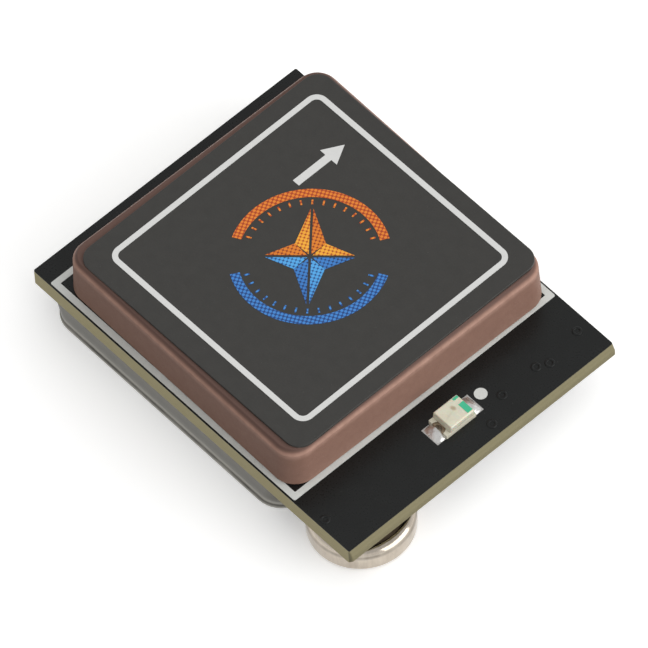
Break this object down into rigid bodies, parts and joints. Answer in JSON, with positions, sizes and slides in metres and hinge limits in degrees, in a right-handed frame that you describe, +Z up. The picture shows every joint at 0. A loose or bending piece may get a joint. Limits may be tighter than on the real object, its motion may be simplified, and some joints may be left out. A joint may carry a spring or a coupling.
{
  "type": "gps module",
  "caption": "Small black circuit board with a labelled square ceramic patch antenna on top, a status lamp beside it, and a shielded receiver and coin cell underneath.",
  "frame": {"origin": "on the surface the module lies on, under the middle of its outline", "axes": "+Z up out of the antenna's label, +X along the board's long side towards the status lamp, +Y across the board"},
  "size_m": [0.0252, 0.0188, 0.0063],
  "materials": {
    "fr4": "sawn glass-epoxy edge, matt khaki",
    "solder_mask": "black, semi-gloss",
    "legend_ink": "white print, matt",
    "tinned_pad": "hot tin, bright",
    "adhesive": "dark double-sided film, matt",
    "fired_silver": "fired silver, satin",
    "ceramic": "unglazed, brown, fine grain",
    "pin_metal": "gold flash on brass",
    "solder": "reflowed solder, bright",
    "label_film": "charcoal printed film, satin",
    "label_ink": "white print, satin",
    "lamp_base": "white laminate",
    "lamp_lens": "milky cream resin",
    "lamp_mark": "green print",
    "cell_steel": "nickel-plated steel, bright, warm",
    "gasket": "dark moulded ring",
    "tab_nickel": "tinned strip",
    "shield_steel": "tinned sheet, satin",
    "chip_resin": "black moulding resin",
    "package_ceramic": "fired ceramic package",
    "package_lid": "welded metal lid",
    "capacitor_body": "fired ceramic, tan",
    "resistor_body": "black overglaze",
    "coil_body": "white ceramic",
    "chip_end": "tinned ends"
  },
  "bodies": {
    "root": {"board_core": "fr4", "solder_mask_top": "solder_mask", "solder_mask_bottom": "solder_mask", "board_legend": "legend_ink", "lamp_pads": "tinned_pad", "connection_pads": "tinned_pad", "battery_pads": "tinned_pad", "shield_land": "tinned_pad", "antenna_adhesive": "adhesive", "antenna_ground_electrode": "fired_silver", "antenna_ceramic": "ceramic", "antenna_top_electrode": "fired_silver", "antenna_feed_pin": "pin_metal", "feed_pin_solder": "solder", "label": "label_film", "label_border": "label_ink", "lamp_base": "lamp_base", "lamp_ends": "chip_end", "lamp_lens": "lamp_lens", "lamp_marks": "lamp_mark", "lamp_solder": "solder", "battery_can": "cell_steel", "battery_gasket": "gasket", "battery_cap": "cell_steel", "battery_positive_tab": "tab_nickel", "battery_negative_tab": "tab_nickel", "shield_can": "shield_steel", "receiver_chip": "chip_resin", "receiver_chip_pads": "chip_end", "oscillator_base": "package_ceramic", "oscillator_lid": "package_lid", "crystal_base": "package_ceramic", "crystal_lid": "package_lid", "saw_filter": "chip_resin", "amplifier": "chip_resin", "regulator_body": "chip_resin", "regulator_leads": "chip_end", "capacitor_bodies": "capacitor_body", "capacitor_ends": "chip_end", "resistor_bodies": "resistor_body", "resistor_ends": "chip_end", "coil_bodies": "coil_body", "coil_ends": "chip_end"}
  },
  "joints": []
}
